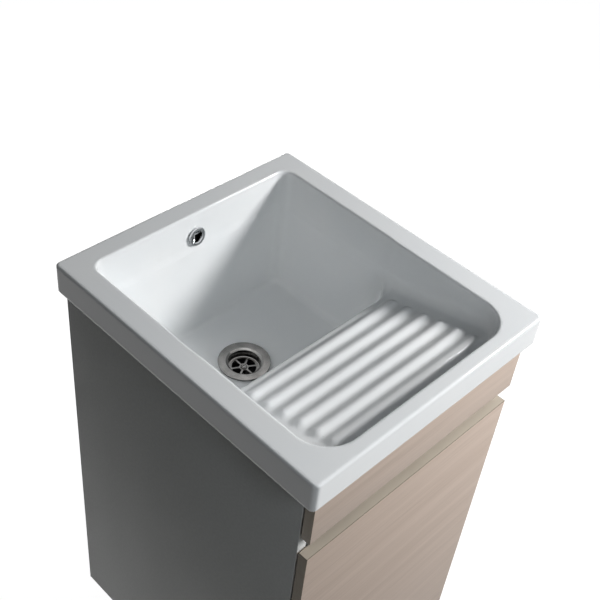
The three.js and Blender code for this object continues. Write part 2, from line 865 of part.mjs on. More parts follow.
function overflowHose() {
  const end = drainY + wasteBodyRadius + seatGap;
  const bend = inletZ + hoseBendRadius;
  const centreY = hoseY - hoseBendRadius;
  const points = straightRun(hoseTop - seatGap, bend + hoseLeadIn).map((z) => [0, hoseY, z]);
  for (let i = 0; i <= cornerSteps / 2; i += 1) {
    const angle = (i / (cornerSteps / 2)) * (Math.PI / 2);
    points.push([0, centreY + hoseBendRadius * Math.cos(angle), bend - hoseBendRadius * Math.sin(angle)]);
  }
  points.push(...straightRun(centreY - hoseLeadIn, end).map((y) => [0, y, inletZ]));
  const section = new THREE.Shape().absarc(0, 0, hoseRadius, 0, Math.PI * 2);
  section.holes.push(new THREE.Path().absarc(0, 0, hoseBore, 0, Math.PI * 2, true));
  return alongLine(points, section, roundSteps);
}

place('overflow_hose', overflowHose(), greyPlastic);

// ---------------------------------------------------------------- trap

const trapTop = wasteTailZ - trapBelowTail;
const outletZ = trapTop - outletBelowTrapTop;
const inletTubeBottom = trapTop - trapBodyHeight + dipTubeAboveFloor;

function couplingNut(height, bore, skirtBore) {
  const nut = turnedRing([
    [bore, 0],
    [couplingRadius - nutChamfer, 0],
    [couplingRadius, nutChamfer],
    [couplingRadius, height],
    [skirtBore, height],
    [skirtBore, nutWeb],
    [bore, nutWeb],
  ]);
  return cut(nut, ...grips(couplingRadius, nutGrips, nutGripDepth, -past, height + past));
}

const collarTop = wasteTailZ - seatGap;
const collarBottom = collarTop - collarThickness;

place(
  'trap_coupling_nut',
  couplingNut(couplingHeight, tubeRadius + seatGap, wasteTailRadius + seatGap),
  whitePlastic,
  [0, drainY, collarBottom - seatGap - nutWeb],
);

function inletTube() {
  const inner = tubeRadius - tubeWall;
  const collar = flatRing(inner, wasteTailRadius - seatGap, collarBottom, collarTop);
  const pipe = flatRing(inner, tubeRadius, inletTubeBottom, collarTop);
  return join(collar, pipe);
}

place('trap_inlet_tube', inletTube(), whitePlastic, [0, drainY, 0]);

function trapBody() {
  const neck = tubeRadius + seatGap;
  const low = -trapBodyHeight;
  const shoulder = -trapNeckHeight - trapShoulderHeight;
  const inner = trapBodyRadius - trapWall;
  const outside = turnedRing([
    [neck, 0],
    [neck + trapNeckWall, 0],
    [neck + trapNeckWall, -trapNeckHeight],
    [trapBodyRadius, shoulder],
    [trapBodyRadius, low],
    [inner, low],
    [inner, shoulder - trapWall],
    [neck, -trapNeckHeight - trapWall],
  ]);
  const outletEnd = trapBodyRadius + outletSpigotLength;
  const level = -outletBelowTrapTop;
  const start = inner - trapWall;
  const pipe = barY(outletRadius, start, outletEnd, 0, level);
  const bore = barY(outletRadius - tubeWall, start - trapWall, outletEnd + past, 0, level);
  const inside = bar(inner, low, shoulder - trapWall);
  return cut(join(outside, cut(pipe, inside)), bore);
}

place('trap_body', trapBody(), whitePlastic, [0, drainY, trapTop]);

function trapCup() {
  const over = trapBodyRadius + seatGap;
  const inner = trapBodyRadius - trapWall;
  const bottom = cupSkirtHeight - trapCupHeight;
  const cup = turned([
    [0, bottom + trapWall],
    [inner - cupChamfer, bottom + trapWall],
    [inner, bottom + trapWall + cupChamfer],
    [inner, -seatGap],
    [over, -seatGap],
    [over, cupSkirtHeight],
    [trapCupRadius, cupSkirtHeight],
    [trapCupRadius, -trapWall],
    [trapBodyRadius, bottom + cupChamfer],
    [trapBodyRadius - cupChamfer, bottom],
    [0, bottom],
  ]);
  return cut(cup, ...grips(trapCupRadius, cupGrips, cupGripDepth, -trapWall, cupSkirtHeight + past));
}

place('trap_cup', trapCup(), whitePlastic, [0, drainY, trapTop - trapBodyHeight]);

const outletStart = drainY + trapBodyRadius + outletSpigotLength;

function outletPipe() {
  const inner = outletRadius + seatGap;
  const start = outletStart - outletOverlap;
  return cut(
    barY(inner + tubeWall, start, rimBack, 0, outletZ),
    barY(inner, start - past, rimBack + past, 0, outletZ),
  );
}

const pipeSleeve = outletRadius + tubeWall + 2 * seatGap;

place('outlet_pipe', outletPipe(), whitePlastic);

function outletNut() {
  const nut = couplingNut(outletNutLength, pipeSleeve, pipeSleeve);
  return nut.rotateX(-Math.PI / 2).translate(0, outletStart - outletNutOverlap, outletZ);
}

place('trap_outlet_nut', outletNut(), whitePlastic);

function wallRosette() {
  const rosette = turnedRing([
    [pipeSleeve, 0],
    [wallRosetteRadius, 0],
    [wallRosetteRadius, wallRosetteEdge],
    [wallRosetteRadius - wallRosetteBevel, wallRosetteThickness],
    [pipeSleeve, wallRosetteThickness],
  ]);
  return rosette.rotateX(Math.PI / 2).translate(0, rimBack, outletZ);
}

place('wall_rosette', wallRosette(), chrome);

// ---------------------------------------------------------------- cabinet

for (const [name, side] of [['side_panel_left', -1], ['side_panel_right', 1]]) {
  const [low, high] = side < 0 ? [-sideOuter, -sideInner] : [sideInner, sideOuter];
  place(name, box(low, high, cabinetFront, cabinetBack, cabinetBottom, cabinetTop), whiteBoard);
}

place(
  'bottom_panel',
  box(-boardHalf, boardHalf, cabinetFront, cabinetBack, cabinetBottom, cabinetBottom + panelThickness),
  whiteBoard,
);

const railBack = railFrontFace + panelThickness;
const fasciaScrewX = boardHalf - fasciaScrewInset;
const fasciaScrewZ = cabinetTop - frontRailHeight / 2;

function fasciaScrewHoles(y0, y1) {
  return [-1, 1].map((side) => {
    return barY(boardScrewRadius + runningGap, y0, y1, side * fasciaScrewX, fasciaScrewZ, smallRoundSteps);
  });
}

function frontRail() {
  const blank = box(-boardHalf, boardHalf, railFrontFace, railBack, cabinetTop - frontRailHeight, cabinetTop);
  return cut(blank, ...fasciaScrewHoles(railFrontFace - past, railBack + past));
}

place('front_rail', frontRail(), whiteBoard);

const rearRailFront = cabinetBack - panelThickness;
const upperRailBottom = outletZ + wallRosetteRadius + railAboveRosette;
const upperRailTop = upperRailBottom + railHeight;

place(
  'rear_upper_rail',
  box(-boardHalf, boardHalf, rearRailFront, cabinetBack, upperRailBottom, upperRailTop),
  whiteBoard,
);

const lowerRailBottom = cabinetBottom + panelThickness + seatGap;

place(
  'rear_lower_rail',
  box(-boardHalf, boardHalf, rearRailFront, cabinetBack, lowerRailBottom, lowerRailBottom + railHeight),
  whiteBoard,
);

function fascia() {
  const blank = box(-frontHalf, frontHalf, frontFace, frontBackFace, fasciaBottom, cabinetTop);
  const depth = boardScrewLength - panelThickness + past;
  return cut(blank, ...fasciaScrewHoles(frontBackFace - depth, frontBackFace + past));
}

place('fascia', fascia(), oak);

function boardScrew() {
  const head = turned(
    [
      [0, 0],
      [boardScrewRadius, 0],
      [boardScrewHeadRadius, boardScrewHeadHeight],
      [0, boardScrewHeadHeight],
    ],
    smallRoundSteps,
  );
  const shank = bar(boardScrewRadius, -boardScrewLength, boardScrewHeadHeight / 2, smallRoundSteps);
  return join(head, shank);
}

for (const [name, side] of [['fascia_screw_left', -1], ['fascia_screw_right', 1]]) {
  const screw = boardScrew().rotateX(-Math.PI / 2);
  place(name, screw, zincSteel, [side * fasciaScrewX, railBack + seatGap, fasciaScrewZ]);
}

// ---------------------------------------------------------------- door and its hinges

// The door hangs on its right side, on pins let into its back.
const doorEdge = frontHalf;
const cupCentreX = doorEdge - cupTab - cupRadius;
const pinX = doorEdge - pinFromEdge;
const pinY = frontBackFace - pinDepth;
const hingeLevels = [
  ['upper', doorTop - hingeFromDoorEnd],
  ['lower', cabinetBottom + hingeFromDoorEnd],
];

function door() {
  const blank = box(-frontHalf, frontHalf, frontFace, frontBackFace, cabinetBottom, doorTop);
  const bores = hingeLevels.map(([, z]) =>
    barY(cupRadius, frontBackFace - cupDepth - seatGap, frontBackFace + past, cupCentreX, z),
  );
  return cut(blank, ...bores);
}

place('door', door(), oak);

function hingeCup() {
  const outer = cupRadius - seatGap;
  const inner = outer - cupWall;
  const shell = turned([
    [0, -cupDepth],
    [outer, -cupDepth],
    [outer, cupFlangeThickness],
    [inner, cupFlangeThickness],
    [inner, -cupDepth + cupWall],
    [0, -cupDepth + cupWall],
  ]);
  const wing = cut(
    box(
      -cupFlangeWidth / 2,
      cupFlangeWidth / 2,
      -cupFlangeHeight / 2,
      cupFlangeHeight / 2,
      seatGap,
      cupFlangeThickness,
    ),
    bar(outer - cupWall / 2, -past, cupFlangeThickness + past),
  );
  const pinOffset = pinX - cupCentreX;
  const pinHole = barY(pinRadius + runningGap, -outer, outer, pinOffset, -pinDepth, smallRoundSteps);
  return cut(join(shell, wing), pinHole).rotateX(-Math.PI / 2);
}

// The cup's round, where the pin's far side crosses it, gives the pin its length.
const pinFarSide = pinX - cupCentreX + pinRadius;
const pinHalfLength = Math.sqrt((cupRadius - seatGap) ** 2 - pinFarSide ** 2) - runningGap;

const plateStart = cabinetFront + plateFromFrontEdge;
const plateEnd = plateStart + plateLength;
const plateScrewY = plateStart + plateLength / 2;
const plateFaceX = sideInner - seatGap - plateThickness;
const armFaceX = plateFaceX - seatGap - armThickness;

function hingeArm() {
  const middle = armFaceX + armThickness / 2;
  const crank = doorEdge - armCrankFromEdge;
  const half = armWidth / 2;
  const line = [
    [pinX - eyeRadius / 2, pinY],
    [crank + armBend, pinY],
    [crank, pinY + armBend],
    [crank, cabinetFront + armBend],
    [middle, plateStart - armRamp],
    [middle, plateEnd],
  ];
  const strap = pulledUp(strapShape(line, armThickness), -half, half);
  const eye = bar(eyeRadius, -half, half, smallRoundSteps).translate(pinX, pinY, 0);
  const broadHalf = armBackWidth / 2;
  const broad = box(armFaceX, armFaceX + armThickness, plateStart, plateEnd, -broadHalf, broadHalf);
  const pinHole = bar(pinRadius + runningGap, -armWidth, armWidth, smallRoundSteps).translate(pinX, pinY, 0);
  return cut(join(strap, eye, broad), pinHole, plateScrewHole());
}

function plateScrewHole() {
  return barX(plateScrewRadius + runningGap, armFaceX - past, sideInner, plateScrewY, 0, smallRoundSteps);
}

function hingePlate() {
  const half = plateHeight / 2;
  return cut(box(plateFaceX, sideInner - seatGap, plateStart, plateEnd, -half, half), plateScrewHole());
}

function hingeScrew() {
  const seat = armFaceX - seatGap;
  const top = seat - plateScrewHeadHeight;
  const head = barX(plateScrewHeadRadius, top, seat, 0, 0, smallRoundSteps);
  const shankEnd = Math.min(armFaceX + plateScrewLength, sideInner - 2 * seatGap);
  const shank = barX(plateScrewRadius, seat - plateScrewHeadHeight / 2, shankEnd, 0, 0, smallRoundSteps);
  const side = driverSlotWidth / 2;
  const reach = plateScrewHeadRadius;
  const slot = box(top - past, top + driverSlotDepth, -side, side, -reach, reach);
  return cut(join(head, shank), slot);
}

for (const [level, z] of hingeLevels) {
  place(`hinge_cup_${level}`, hingeCup(), zincSteel, [cupCentreX, frontBackFace, z]);
  place(`hinge_pin_${level}`, bar(pinRadius, -pinHalfLength, pinHalfLength, smallRoundSteps), zincSteel, [
    pinX,
    pinY,
    z,
  ]);
  place(`hinge_arm_${level}`, hingeArm(), zincSteel, [0, 0, z]);
  place(`hinge_plate_${level}`, hingePlate(), zincSteel, [0, 0, z]);
  place(`hinge_screw_${level}`, hingeScrew(), zincSteel, [0, plateScrewY, z]);
}

function bumper() {
  const thickness = frontGap - 2 * seatGap;
  return turned(
    [
      [0, 0],
      [bumperRadius, 0],
      [bumperRadius, thickness / 2],
      [bumperRadius - bumperBevel, thickness],
      [0, thickness],
    ],
    smallRoundSteps,
  ).rotateX(Math.PI / 2);
}

const bumperX = -sideOuter + panelThickness / 2;

for (const [level, z] of [['upper', doorTop - bumperFromEnd], ['lower', cabinetBottom + bumperFromEnd]]) {
  place(`door_bumper_${level}`, bumper(), clearBumper, [bumperX, cabinetFront - seatGap, z]);
}

// ---------------------------------------------------------------- levelling feet

const socketTop = cabinetBottom - seatGap;

function footSocket() {
  const bore = studRadius + runningGap;
  return turnedRing([
    [bore, 0],
    [socketFlange, 0],
    [socketFlange, -socketFlangeThickness],
    [socketRadius, -socketFlangeThickness],
    [socketRadius - socketTaper, -socketHeight],
    [bore, -socketHeight],
  ]);
}

function levellingFoot() {
  return turned([
    [0, 0],
    [footBaseRadius - footBaseBevel, 0],
    [footBaseRadius, footBaseBevel],
    [footBaseRadius, footBaseHeight - footConeHeight],
    [footBaseRadius - footConeWidth, footBaseHeight],
    [studRadius, footBaseHeight],
    [studRadius, footBaseHeight + studLength],
    [0, footBaseHeight + studLength],
  ]);
}

const footX = sideInner - footInset;
const footPlaces = [
  ['front_left', -footX, cabinetFront + footInset],
  ['front_right', footX, cabinetFront + footInset],
  ['back_left', -footX, cabinetBack - footInset],
  ['back_right', footX, cabinetBack - footInset],
];

for (const [corner, x, y] of footPlaces) {
  place(`foot_socket_${corner}`, footSocket(), blackPlastic, [x, y, socketTop]);
  place(`levelling_foot_${corner}`, levellingFoot(), blackPlastic, [x, y, 0]);
}

// ---------------------------------------------------------------- wall brackets

// The right-hand bracket: a leg on the side panel, a leg on the wall, and a hole to the wall.
function wallBracket() {
  const outer = sideInner - seatGap;
  const z0 = upperRailTop + seatGap;
  const z1 = z0 + bracketWidth;
  const alongSide = box(outer - bracketThickness, outer, cabinetBack - bracketLeg, cabinetBack, z0, z1);
  const alongWall = box(outer - bracketLeg, outer, cabinetBack - bracketThickness, cabinetBack, z0, z1);
  const holeX = outer - bracketHoleFromSide;
  const holeY = cabinetBack - bracketThickness - past;
  const middle = (z0 + z1) / 2;
  const hole = barY(bracketHoleRadius, holeY, cabinetBack + past, holeX, middle, smallRoundSteps);
  return cut(join(alongSide, alongWall), hole);
}

place('wall_bracket_left', wallBracket().scale(-1, 1, 1), zincSteel);
place('wall_bracket_right', wallBracket(), zincSteel);

export default group;
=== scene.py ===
"""Looks of the utility laundry sink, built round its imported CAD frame.

Metres, +Z up, origin on the floor under the middle of the rim. The front faces -Y.
The ceramic tub is worked out in millimetres from the rim's top and scaled at the end.
"""

import itertools
import json
import math

import bmesh
import bpy
import numpy as np
from mathutils import Matrix, Vector


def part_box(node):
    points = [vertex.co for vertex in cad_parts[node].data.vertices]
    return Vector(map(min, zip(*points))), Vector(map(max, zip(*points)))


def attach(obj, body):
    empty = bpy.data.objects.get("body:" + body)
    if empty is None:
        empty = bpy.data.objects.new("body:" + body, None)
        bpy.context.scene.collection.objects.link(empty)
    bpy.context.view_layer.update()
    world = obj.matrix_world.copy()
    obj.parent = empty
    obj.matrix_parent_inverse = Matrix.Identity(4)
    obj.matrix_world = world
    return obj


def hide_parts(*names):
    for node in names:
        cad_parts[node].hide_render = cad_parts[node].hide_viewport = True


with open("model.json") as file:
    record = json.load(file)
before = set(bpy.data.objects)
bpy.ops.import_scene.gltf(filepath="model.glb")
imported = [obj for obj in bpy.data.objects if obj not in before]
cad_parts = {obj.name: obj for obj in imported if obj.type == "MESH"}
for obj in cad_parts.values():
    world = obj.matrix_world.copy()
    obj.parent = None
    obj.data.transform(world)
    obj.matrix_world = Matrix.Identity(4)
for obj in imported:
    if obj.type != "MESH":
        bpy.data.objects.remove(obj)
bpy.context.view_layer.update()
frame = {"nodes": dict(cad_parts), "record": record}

bpy.context.scene.view_settings.view_transform = "Standard"

MM = 0.001
SAME_POINT = 1e-6  # metres; corners closer than this are merged
ROOT = "cabinet"
DOOR = "door_panel"


def millimetres(metres):
    """A length of the frame in millimetres, without the rounding that its file left."""
    return round(metres / MM, 3)


# ---------------------------------------------------------------- camera

CAMERA_PLACE = (-0.7964, -0.6859, 1.7705)
CAMERA_HEADING = 40.609  # degrees from +X towards +Y
CAMERA_DIP = 41.755  # degrees below level
CAMERA_ROLL = 6.826  # degrees that its right side is raised
CAMERA_LENS = 61.62
CAMERA_SENSOR = 36.0


def add_camera():
    heading, dip, roll = map(math.radians, (CAMERA_HEADING, CAMERA_DIP, CAMERA_ROLL))
    ahead = Vector((math.cos(dip) * math.cos(heading), math.cos(dip) * math.sin(heading), -math.sin(dip)))
    level = Vector((math.sin(heading), -math.cos(heading), 0.0))
    right = level * math.cos(roll) + level.cross(ahead) * math.sin(roll)
    turn = Matrix((right, right.cross(ahead), -ahead)).transposed().to_4x4()
    data = bpy.data.cameras.new("camera")
    data.lens = CAMERA_LENS
    data.sensor_width = CAMERA_SENSOR
    camera = bpy.data.objects.new("camera", data)
    camera.matrix_world = Matrix.Translation(CAMERA_PLACE) @ turn
    bpy.context.scene.collection.objects.link(camera)
    bpy.context.scene.camera = camera


add_camera()

# ---------------------------------------------------------------- colours and materials

EVEN = (1.0, 1.0, 1.0)  # a noise that is stretched in no direction


def linear(r, g, b):
    """A colour written in sRGB, 0 to 255, as Blender's linear value."""
    out = []
    for value in (r, g, b):
        value /= 255.0
        out.append(value / 12.92 if value <= 0.04045 else ((value + 0.055) / 1.055) ** 2.4)
    return (*out, 1.0)


class Nodes:
    """A material and short ways to add and join its nodes."""

    def __init__(self, name, roughness, metallic=0.0, specular=0.5):
        self.material = bpy.data.materials.new(name)
        self.material.use_nodes = True
        self.tree = self.material.node_tree
        self.shader = self.tree.nodes["Principled BSDF"]
        self.shader.inputs["Roughness"].default_value = roughness
        self.shader.inputs["Metallic"].default_value = metallic
        self.shader.inputs["Specular IOR Level"].default_value = specular
        self.place = self.tree.nodes.new("ShaderNodeTexCoord").outputs["Object"]

    def add(self, kind, **settings):
        node = self.tree.nodes.new(kind)
        for key, value in settings.items():
            setattr(node, key, value)
        return node

    def link(self, source, target):
        self.tree.links.new(source, target)

    def noise(self, scale, detail=3.0, stretch=EVEN):
        """Noise over the object's own coordinates, stretched by one factor for each axis."""
        mapping = self.add("ShaderNodeMapping")
        mapping.inputs["Scale"].default_value = stretch
        self.link(self.place, mapping.inputs["Vector"])
        noise = self.add("ShaderNodeTexNoise")
        noise.inputs["Scale"].default_value = scale
        noise.inputs["Detail"].default_value = detail
        self.link(mapping.outputs["Vector"], noise.inputs["Vector"])
        return noise.outputs["Fac"]

    def ramp(self, fac, dark, light, low=0.3, high=0.7):
        """A colour that runs from dark to light while fac goes from low to high."""
        ramp = self.add("ShaderNodeValToRGB")
        first, last = ramp.color_ramp.elements
        first.position = low
        first.color = linear(*dark)
        last.position = high
        last.color = linear(*light)
        self.link(fac, ramp.inputs["Fac"])
        return ramp.outputs["Color"]

    def colour(self, source):
        self.link(source, self.shader.inputs["Base Color"])

    def vary_roughness(self, fac, low, high):
        spread = self.add("ShaderNodeMapRange")
        spread.inputs["To Min"].default_value = low
        spread.inputs["To Max"].default_value = high
        self.link(fac, spread.inputs["Value"])
        self.link(spread.outputs["Result"], self.shader.inputs["Roughness"])

    def bump(self, height, strength, distance):
        bump = self.add("ShaderNodeBump")
        bump.inputs["Strength"].default_value = strength
        bump.inputs["Distance"].default_value = distance
        self.link(height, bump.inputs["Height"])
        self.link(bump.outputs["Normal"], self.shader.inputs["Normal"])


def ceramic_material():
    """Glaze with faint clouds in its colour and gloss, and a slow ripple."""
    m = Nodes("glazed_ceramic", roughness=0.1, specular=0.32)
    m.colour(m.ramp(m.noise(scale=9.0), (241, 243, 244), (245, 246, 246)))
    m.vary_roughness(m.noise(scale=30.0), 0.07, 0.13)
    m.bump(m.noise(scale=55.0, detail=1.0), strength=0.03, distance=0.0006)
    return m.material


def laminate_material(name, dark, light, grain):
    """Board with fine grain along X: colour bands, then short pores as strong as grain."""
    m = Nodes(name, roughness=0.5, specular=0.2)
    bands = m.noise(scale=2.4, detail=5.0, stretch=(0.9, 1.0, 30.0))
    pores = m.noise(scale=2.0, detail=2.0, stretch=(5.0, 1.0, 320.0))
    mix = m.add("ShaderNodeMixRGB", blend_type="MULTIPLY")
    mix.inputs["Fac"].default_value = grain
    m.link(m.ramp(bands, dark, light), mix.inputs["Color1"])
    m.link(m.ramp(pores, (200, 196, 192), (255, 255, 255), low=0.35, high=0.5), mix.inputs["Color2"])
    m.colour(mix.outputs["Color"])
    m.vary_roughness(bands, 0.46, 0.58)
    m.bump(pores, strength=0.08, distance=0.0003)
    return m.material


def board_material(name, dark, light, roughness):
    """Coated board with a fine speck."""
    m = Nodes(name, roughness, specular=0.1)
    speck = m.noise(scale=260.0)
    m.colour(m.ramp(speck, dark, light, low=0.35, high=0.65))
    m.vary_roughness(m.noise(scale=14.0), roughness - 0.05, roughness + 0.05)
    m.bump(speck, strength=0.1, distance=0.0002)
    return m.material


def metal_material(name, dark, light, rough_low, rough_high, stretch=EVEN):
    """Metal whose colour, gloss and surface follow one set of brush marks."""
    m = Nodes(name, rough_low, metallic=1.0)
    brush = m.noise(scale=60.0, detail=2.0, stretch=stretch)
    m.colour(m.ramp(brush, dark, light))
    m.vary_roughness(brush, rough_low, rough_high)
    m.bump(brush, strength=0.05, distance=0.0001)
    return m.material


def moulded_material(name, dark, light, roughness):
    """Plastic or rubber with the fine texture of its mould."""
    m = Nodes(name, roughness)
    fine = m.noise(scale=700.0, detail=1.0)
    m.colour(m.ramp(m.noise(scale=24.0), dark, light))
    m.vary_roughness(fine, roughness - 0.06, roughness + 0.06)
    m.bump(fine, strength=0.12, distance=0.0001)
    return m.material


OAK = laminate_material("oak_laminate", (203, 183, 168), (213, 194, 180), grain=0.18)
OAK_EDGE = laminate_material("oak_edge", (190, 178, 162), (198, 187, 172), grain=0.1)
# Painted shade: a dark oak for the eased edges of the fronts, standing in for the thin shadow lines that
# fall along them.
OAK_BEVEL_SHADE = laminate_material("oak_bevel_painted_shade", (112, 104, 88), (124, 116, 100), grain=0.1)

FINISH_OF_SLOT = {
    "ceramic": ceramic_material(),
    "stainless": metal_material("stainless", (128, 127, 125), (154, 152, 150), 0.16, 0.28, (1, 1, 8)),
    "chrome": metal_material("chrome", (196, 198, 200), (214, 216, 218), 0.05, 0.1),
    "zinc_steel": metal_material("zinc_steel", (164, 166, 168), (180, 182, 184), 0.3, 0.42, (1, 6, 1)),
    "oak_laminate": OAK,
    "white_board": board_material("white_board", (226, 227, 225), (232, 233, 231), 0.45),
    "white_plastic": moulded_material("white_plastic", (228, 228, 225), (236, 236, 233), 0.36),
    "grey_plastic": moulded_material("grey_plastic", (134, 138, 140), (148, 151, 153), 0.45),
    "black_plastic": moulded_material("black_plastic", (32, 32, 33), (42, 42, 43), 0.5),
    "black_rubber": moulded_material("black_rubber", (24, 24, 24), (34, 34, 34), 0.8),
    "soft_bumper": moulded_material("soft_bumper", (214, 217, 217), (224, 227, 227), 0.35),
}

SLOT_OF_NODE = {part["node"]: part["material_slot"] for part in frame["record"]["subparts"]}

for node, slot in SLOT_OF_NODE.items():
    data = frame["nodes"][node].data
    data.materials.clear()
    data.materials.append(FINISH_OF_SLOT[slot])

# ---------------------------------------------------------------- pieces


def add_piece(name, mesh, node, body=ROOT, materials=None):
    """Links a mesh that stands for one CAD node and rides on its body."""
    piece = bpy.data.objects.new(name, mesh)
    bpy.context.scene.collection.objects.link(piece)
    for finish in materials or [FINISH_OF_SLOT[SLOT_OF_NODE[node]]]:
        mesh.materials.append(finish)
    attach(piece, body)
    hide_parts(node)


# ---------------------------------------------------------------- sizes of the tub
# Millimetres. Depths count down from the rim's top.

BASIN_LOW, BASIN_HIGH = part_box("ceramic_basin")
FLANGE_LOW, FLANGE_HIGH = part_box("waste_flange")
RIM_TOP = millimetres(BASIN_HIGH.z) * MM  # metres, from the floor
RIM_HALF = millimetres(BASIN_HIGH.x)
RIM_FRONT = millimetres(BASIN_LOW.y)
RIM_BACK = millimetres(BASIN_HIGH.y)
RIM_HEIGHT = 49.0
RIM_CORNER = 8.0
RIM_EDGE_ROUND = 3.5
MOUTH_ROUND = 3.0  # of the edges of every hollow

OPENING_HALF = 184.0
OPENING_FRONT = -228.5
OPENING_BACK = 216.0
FRONT_CORNER = 50.0
BACK_CORNER = 18.0
DRAFT = math.tan(math.radians(5.0))
WALL = 9.0
SKIRT_ROUND = 6.0  # where the walls come out from under the rim

BOTTOM_DEPTH = 205.0
BOTTOM_THICKNESS = 10.0
BOTTOM_ROUND = 10.0
UNDERSIDE_ROUND = 14.0
DRAIN_DEPTH = 215.0
DRAIN_Y = millimetres((FLANGE_LOW.y + FLANGE_HIGH.y) / 2)
DRAIN_HOLE = 30.0
FALL_START = 44.0  # from the drain's middle to where the bottom starts to rise
FALL_LENGTH = 130.0

STEP_Y = -36.0
STEP_CORNER = 50.0
STEP_EDGE_ROUND = 6.0
STEP_END_Y = STEP_Y + STEP_CORNER  # where the curved ends of the step meet the side walls
SHELF_DEPTH = 69.0
SHELF_SLOPE = math.tan(math.radians(13.8))
SHELF_LEAN = 0.97  # about the cosine of that slope, which turns a height over it into a distance
SHELF_THICKNESS = 11.0
BOWL_FRONT = STEP_Y - SHELF_DEPTH * DRAFT  # at the height of the rim's top

RIB_PITCH = 28.6
RIB_HEIGHT = 5.4
RIB_COUNT = 5
RIB_END = 151.0
RIB_FADE = 14.0
FIRST_RIB_FROM_STEP = 23.0
FIRST_RIB_Y = STEP_Y - FIRST_RIB_FROM_STEP
LAST_RIB_CLOSER = 2.0  # than a whole pitch from the rib before it
LAST_RIB_Y = FIRST_RIB_Y - RIB_COUNT * RIB_PITCH + LAST_RIB_CLOSER
LAST_RIB_HEIGHT = 4.5
TROUGH_Y = -219.0
TROUGH_HALF_WIDTH = 15.0
TROUGH_DEPTH = 12.0

FRONT_ROUND = 8.0  # between the shelf and the front wall
SIDE_ROUND = 18.0  # between the shelf and the side walls
FOOT_BLEND_Y = -212.0
FOOT_BLEND_LENGTH = 30.0

OVERFLOW_DEPTH = 40.0
OVERFLOW_HOLE = 12.0
OVERFLOW_Y = 218.0
OVERFLOW_REACH = 14.0
POCKET_HALF = 23.0
POCKET_FRONT = 221.5
POCKET_BACK = 242.0
POCKET_ROOF = 17.0  # below the rim's top

# ---------------------------------------------------------------- shape of the tub


def rounded_rectangle(x, y, half, front, back, front_radius, back_radius):
    """Distance to a rectangle's outline in plan, negative inside."""
    middle = (front + back) / 2
    radius = np.where(y < middle, front_radius, back_radius)
    qx = np.abs(x) - half + radius
    qy = np.abs(y - middle) - (back - front) / 2 + radius
    outside = np.hypot(np.maximum(qx, 0), np.maximum(qy, 0))
    return outside + np.minimum(np.maximum(qx, qy), 0) - radius


def round_join(a, b, radius):
    """Union of two shapes, with the hollow corner between them filled to a radius."""
    u = np.maximum(radius - a, 0)
    v = np.maximum(radius - b, 0)
    return np.maximum(radius, np.minimum(a, b)) - np.hypot(u, v)


def round_common(a, b, radius):
    """What two shapes share, with the edge between them rounded."""
    return -round_join(-a, -b, radius)


def wave(distance, half_width, height):
    """A round ridge whose two feet run out level."""
    t = np.clip(np.abs(distance) / half_width, 0, 1)
    return height * (0.5 + 0.5 * np.cos(math.pi * t))


def shelf_base(y):
    """Height of the washboard's grooves, level behind the step and rising in front of it."""
    return -SHELF_DEPTH + (STEP_Y - np.minimum(y, STEP_Y)) * SHELF_SLOPE


def shelf_height(x, y):
    """The washboard: ribs that fade out at both ends, and a trough along the front wall."""
    ribs = np.zeros_like(y)
    for i in range(RIB_COUNT):
        ribs += wave(y - (FIRST_RIB_Y - i * RIB_PITCH), RIB_PITCH / 2, RIB_HEIGHT)
    ribs += wave(y - LAST_RIB_Y, RIB_PITCH / 2, LAST_RIB_HEIGHT)
    ribs -= wave(y - TROUGH_Y, TROUGH_HALF_WIDTH, TROUGH_DEPTH)
    ends = np.clip((RIB_END - np.abs(x)) / RIB_FADE, 0, 1)
    return shelf_base(y) + ribs * ends * ends * (3 - 2 * ends)


def bottom_level(x, y):
    """Height of the bowl's bottom, which falls to the drain from all sides."""
    away = np.hypot(x, y - DRAIN_Y)
    return -DRAIN_DEPTH + (DRAIN_DEPTH - BOTTOM_DEPTH) * np.clip((away - FALL_START) / FALL_LENGTH, 0, 1)


def walls(x, y, z, front, front_corner, grow):
    """Distance to walls that lean in by the draft as they go down; grow moves them outwards."""
    inset = -z * DRAFT - grow
    half = OPENING_HALF - inset
    back = OPENING_BACK - inset
    return rounded_rectangle(x, y, half, front + inset, back, front_corner + grow, BACK_CORNER + grow)


def bowl_walls(x, y, z, grow=0.0):
    return walls(x, y, z, BOWL_FRONT, STEP_CORNER, grow)


def opening_walls(x, y, z, grow=0.0):
    return walls(x, y, z, OPENING_FRONT, FRONT_CORNER, grow)


def rim_slab(x, y, z):
    plan = rounded_rectangle(x, y, RIM_HALF, RIM_FRONT, RIM_BACK, RIM_CORNER, RIM_CORNER)
    height = np.abs(z + RIM_HEIGHT / 2) - RIM_HEIGHT / 2
    return round_common(plan, height, RIM_EDGE_ROUND)


def bowl_shell(x, y, z):
    underside = bottom_level(x, y) - BOTTOM_THICKNESS - z
    shell = round_common(bowl_walls(x, y, z, WALL), underside, UNDERSIDE_ROUND)
    return np.maximum(shell, z + RIM_HEIGHT / 2)


def shelf_shell(x, y, z):
    shell = np.maximum(opening_walls(x, y, z, WALL), shelf_base(y) - SHELF_THICKNESS - z)
    return np.maximum(shell, np.maximum(z + RIM_HEIGHT / 4, y - STEP_END_Y))


def basin_hollow(x, y, z):
    """The bowl and the space over the washboard, joined along the step."""
    bowl = round_common(bowl_walls(x, y, z), bottom_level(x, y) - z, BOTTOM_ROUND)
    from_front = np.clip((y - FOOT_BLEND_Y) / FOOT_BLEND_LENGTH, 0, 1)
    foot_round = FRONT_ROUND + (SIDE_ROUND - FRONT_ROUND) * from_front
    above_shelf = (shelf_height(x, y) - z) * SHELF_LEAN
    over = round_common(opening_walls(x, y, z), above_shelf, foot_round)
    return round_join(bowl, over, STEP_EDGE_ROUND)


